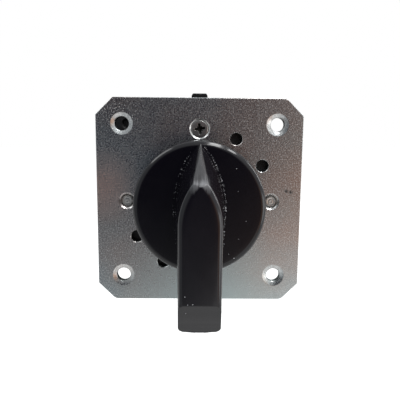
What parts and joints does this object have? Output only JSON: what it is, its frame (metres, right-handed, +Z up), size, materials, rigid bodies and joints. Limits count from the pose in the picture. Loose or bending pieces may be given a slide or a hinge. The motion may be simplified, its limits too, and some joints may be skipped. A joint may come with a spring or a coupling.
{
  "type": "rotary cam switch",
  "caption": "Panel rotary cam switch: pointer knob in front of a square steel plate, with a detent, stop and stacked cam-driven contact decks behind it.",
  "frame": {"origin": "where the spindle's axis meets the front face of the front plate", "axes": "-Y is the way the knob faces, +Z is up (the pointer's direction at rest), +X is right as seen from the front"},
  "size_m": [0.064, 0.1019, 0.0684],
  "materials": {
    "zinc_plate": "zinc plated sheet",
    "knob_plastic": "semi-gloss moulding",
    "body_plastic": "moulded thermoset",
    "cam_plastic": "natural moulding",
    "steel": "bright zinc plated",
    "terminal_steel": "nickel plated",
    "spring_steel": "hardened spring steel",
    "brass": "stamped strip"
  },
  "bodies": {
    "switch_body": {"front_plate": "zinc_plate", "latch_housing": "body_plastic", "plate_screws": "steel", "tie_bolts": "steel", "stop_plate": "body_plastic", "bow_spring_upper": "spring_steel", "bow_spring_lower": "spring_steel", "end_cover": "body_plastic", "deck_1": "body_plastic", "terminal_screws_1": "terminal_steel", "clamp_washers_1": "terminal_steel", "contact_1_upper_left": "brass", "contact_1_upper_right": "brass", "contact_1_lower_left": "brass", "contact_1_lower_right": "brass", "deck_2": "body_plastic", "terminal_screws_2": "terminal_steel", "clamp_washers_2": "terminal_steel", "contact_2_upper_left": "brass", "contact_2_upper_right": "brass", "contact_2_lower_left": "brass", "contact_2_lower_right": "brass", "deck_3": "body_plastic", "terminal_screws_3": "terminal_steel", "clamp_washers_3": "terminal_steel", "contact_3_upper_left": "brass", "contact_3_upper_right": "brass", "contact_3_lower_left": "brass", "contact_3_lower_right": "brass"},
    "rotor": {"knob": "knob_plastic", "knob_set_screw": "steel", "shaft": "steel", "star_wheel": "cam_plastic", "stop_cam": "cam_plastic", "retaining_clip": "steel", "cam_1": "cam_plastic", "cam_2": "cam_plastic", "cam_3": "cam_plastic"},
    "carrier_1_left": {"plunger_1_left": "cam_plastic", "bridge_1_left": "brass", "spring_1_left": "spring_steel"},
    "carrier_1_right": {"plunger_1_right": "cam_plastic", "bridge_1_right": "brass", "spring_1_right": "spring_steel"},
    "carrier_2_left": {"plunger_2_left": "cam_plastic", "bridge_2_left": "brass", "spring_2_left": "spring_steel"},
    "carrier_2_right": {"plunger_2_right": "cam_plastic", "bridge_2_right": "brass", "spring_2_right": "spring_steel"},
    "carrier_3_left": {"plunger_3_left": "cam_plastic", "bridge_3_left": "brass", "spring_3_left": "spring_steel"},
    "carrier_3_right": {"plunger_3_right": "cam_plastic", "bridge_3_right": "brass", "spring_3_right": "spring_steel"}
  },
  "joints": [
    {"name": "knob_turn", "type": "hinge", "parent": "switch_body", "child": "rotor", "pos_m": [0, 0, 0], "axis": [0, 1, 0], "range_deg": [0, 90], "deforming": ["bow_spring_upper", "bow_spring_lower"]},
    {"name": "carrier_1_left_slide", "type": "slide", "parent": "switch_body", "child": "carrier_1_left", "axis": [1, 0, 0], "range_m": [0, 0.0025], "deforming": ["spring_1_left"]},
    {"name": "carrier_1_right_slide", "type": "slide", "parent": "switch_body", "child": "carrier_1_right", "axis": [-1, 0, 0], "range_m": [0, 0.0025], "deforming": ["spring_1_right"]},
    {"name": "carrier_2_left_slide", "type": "slide", "parent": "switch_body", "child": "carrier_2_left", "axis": [1, 0, 0], "range_m": [0, 0.0025], "deforming": ["spring_2_left"]},
    {"name": "carrier_2_right_slide", "type": "slide", "parent": "switch_body", "child": "carrier_2_right", "axis": [-1, 0, 0], "range_m": [0, 0.0025], "deforming": ["spring_2_right"]},
    {"name": "carrier_3_left_slide", "type": "slide", "parent": "switch_body", "child": "carrier_3_left", "axis": [1, 0, 0], "range_m": [0, 0.0025], "deforming": ["spring_3_left"]},
    {"name": "carrier_3_right_slide", "type": "slide", "parent": "switch_body", "child": "carrier_3_right", "axis": [-1, 0, 0], "range_m": [0, 0.0025], "deforming": ["spring_3_right"]}
  ],
  "couplings": [
    {"joint": "carrier_1_left_slide", "follows": "knob_turn", "m_per_rad": 0.0015915},
    {"joint": "carrier_1_right_slide", "follows": "knob_turn", "m_per_rad": 0.0015915},
    {"joint": "carrier_2_left_slide", "follows": "knob_turn", "m_per_rad": 0.0015915},
    {"joint": "carrier_2_right_slide", "follows": "knob_turn", "m_per_rad": 0.0015915},
    {"joint": "carrier_3_left_slide", "follows": "knob_turn", "m_per_rad": 0.0015915},
    {"joint": "carrier_3_right_slide", "follows": "knob_turn", "m_per_rad": 0.0015915}
  ]
}
